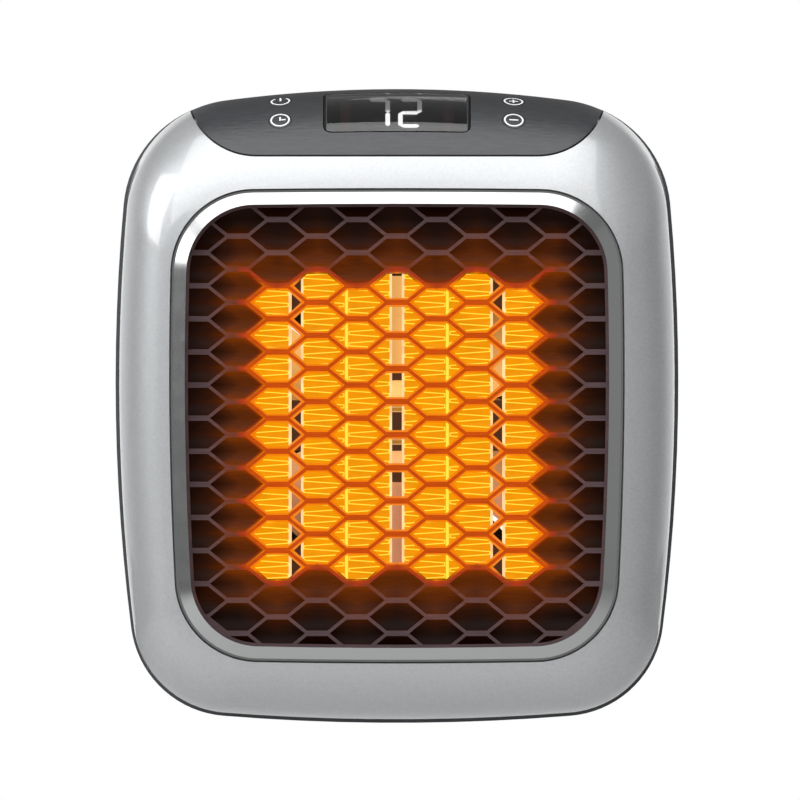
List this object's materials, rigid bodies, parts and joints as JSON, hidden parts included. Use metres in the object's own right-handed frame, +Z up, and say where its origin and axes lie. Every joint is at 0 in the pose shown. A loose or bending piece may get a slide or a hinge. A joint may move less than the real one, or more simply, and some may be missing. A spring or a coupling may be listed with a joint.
{
  "type": "plug-in fan heater",
  "caption": "Wall-outlet fan heater: bowed silver shell, chrome-framed hexagon grille over a glowing finned core, top control panel with digital display, swivelling plug.",
  "frame": {"origin": "centre of the plug base's rear face, on the swivel axis, where the base meets the wall outlet", "axes": "+Y points into the wall along the plug blades, +Z is up, +X is to the right seen from the front"},
  "size_m": [0.138, 0.1185, 0.1554],
  "materials": {
    "silver_paint": "fine metallic silver paint on moulded plastic, satin",
    "dark_shell": "fine spark texture",
    "chrome_trim": "polished",
    "black_panel": "fine grain",
    "smoked_window": "polished, smoked",
    "key_black": "fine grain",
    "grille_plastic": "heat resistant, semi matt",
    "holder_plastic": "heat resistant, matt",
    "circuit_board": "solder mask",
    "component_black": "moulded",
    "component_blue": "moulded",
    "component_yellow": "moulded",
    "lit_white": "lit diffuser",
    "unlit_grey": "unlit diffuser",
    "hot_aluminium": "folded ribbon, shown hot",
    "hot_strip": "pressed stones, shown hot",
    "steel": "zinc plated",
    "brass": "plain",
    "nickelled_brass": "nickel plated",
    "ivory_plastic": "moulded",
    "magnet_grey": "sintered",
    "glass_clear": "clear",
    "sensor_black": "epoxy bead",
    "switch_black": "moulded"
  },
  "bodies": {
    "plug": {"plug_base": "dark_shell", "live_blade": "nickelled_brass", "neutral_blade": "nickelled_brass", "swivel_retainer": "component_black", "retainer_screws": "steel", "contact_tracks": "brass"},
    "housing": {"front_bezel": "silver_paint", "trim_ring": "chrome_trim", "front_grille": "grille_plastic", "control_panel": "black_panel", "display_lens": "smoked_window", "control_board": "circuit_board", "board_screws": "steel", "key_switches": "component_black", "display_module": "component_black", "lit_segments": "lit_white", "dark_segments": "unlit_grey", "controller_chip": "component_black", "board_socket": "ivory_plastic", "heating_strips": "hot_strip", "heater_fins": "hot_aluminium", "fin_plates": "hot_aluminium", "core_end_caps": "holder_plastic", "heater_terminals": "steel", "core_holder": "holder_plastic", "holder_screws": "steel", "thermal_cutout": "steel", "thermal_fuse": "steel", "fan_duct": "holder_plastic", "duct_screws": "steel", "motor_screws": "steel", "motor_end_cap": "ivory_plastic", "motor_terminals": "brass", "motor_can": "steel", "motor_magnets": "magnet_grey", "rear_housing": "dark_shell", "housing_screws": "steel", "wiper_holder": "component_black", "wiper_springs": "brass", "wiper_screws": "steel", "switch_body": "switch_black", "switch_terminals": "brass", "power_board": "circuit_board", "supply_screws": "steel", "relay": "component_black", "film_capacitor": "component_yellow", "choke": "component_black", "varistor": "component_blue", "board_fuse": "glass_clear", "terminal_block": "component_blue", "temperature_sensor": "sensor_black"},
    "fan": {"fan_wheel": "ivory_plastic", "motor_shaft": "steel", "motor_armature": "magnet_grey"},
    "rocker": {"switch_rocker": "switch_black"},
    "power_key": {"power_key": "key_black"},
    "timer_key": {"timer_key": "key_black"},
    "plus_key": {"plus_key": "key_black"},
    "minus_key": {"minus_key": "key_black"}
  },
  "joints": [
    {"name": "plug_swivel", "type": "hinge", "parent": "plug", "child": "housing", "pos_m": [0, -0.012, 0], "axis": [0, 1, 0], "range_deg": [0, 180]},
    {"name": "fan_spin", "type": "hinge", "parent": "housing", "child": "fan", "pos_m": [0, -0.06, -0.0048], "axis": [0, 1, 0], "continuous": true},
    {"name": "rocker_tilt", "type": "hinge", "parent": "housing", "child": "rocker", "pos_m": [0.0622, -0.04, -0.022], "axis": [0, 1, 0], "range_deg": [-16, 0]},
    {"name": "power_key_press", "type": "slide", "parent": "housing", "child": "power_key", "axis": [0, 0.5736, -0.8192], "range_m": [0, 0.0005], "stiffness_N_per_m": 800, "springref_m": -0.0015},
    {"name": "timer_key_press", "type": "slide", "parent": "housing", "child": "timer_key", "axis": [0, 0.5736, -0.8192], "range_m": [0, 0.0005], "stiffness_N_per_m": 800, "springref_m": -0.0015},
    {"name": "plus_key_press", "type": "slide", "parent": "housing", "child": "plus_key", "axis": [0, 0.5736, -0.8192], "range_m": [0, 0.0005], "stiffness_N_per_m": 800, "springref_m": -0.0015},
    {"name": "minus_key_press", "type": "slide", "parent": "housing", "child": "minus_key", "axis": [0, 0.5736, -0.8192], "range_m": [0, 0.0005], "stiffness_N_per_m": 800, "springref_m": -0.0015}
  ]
}
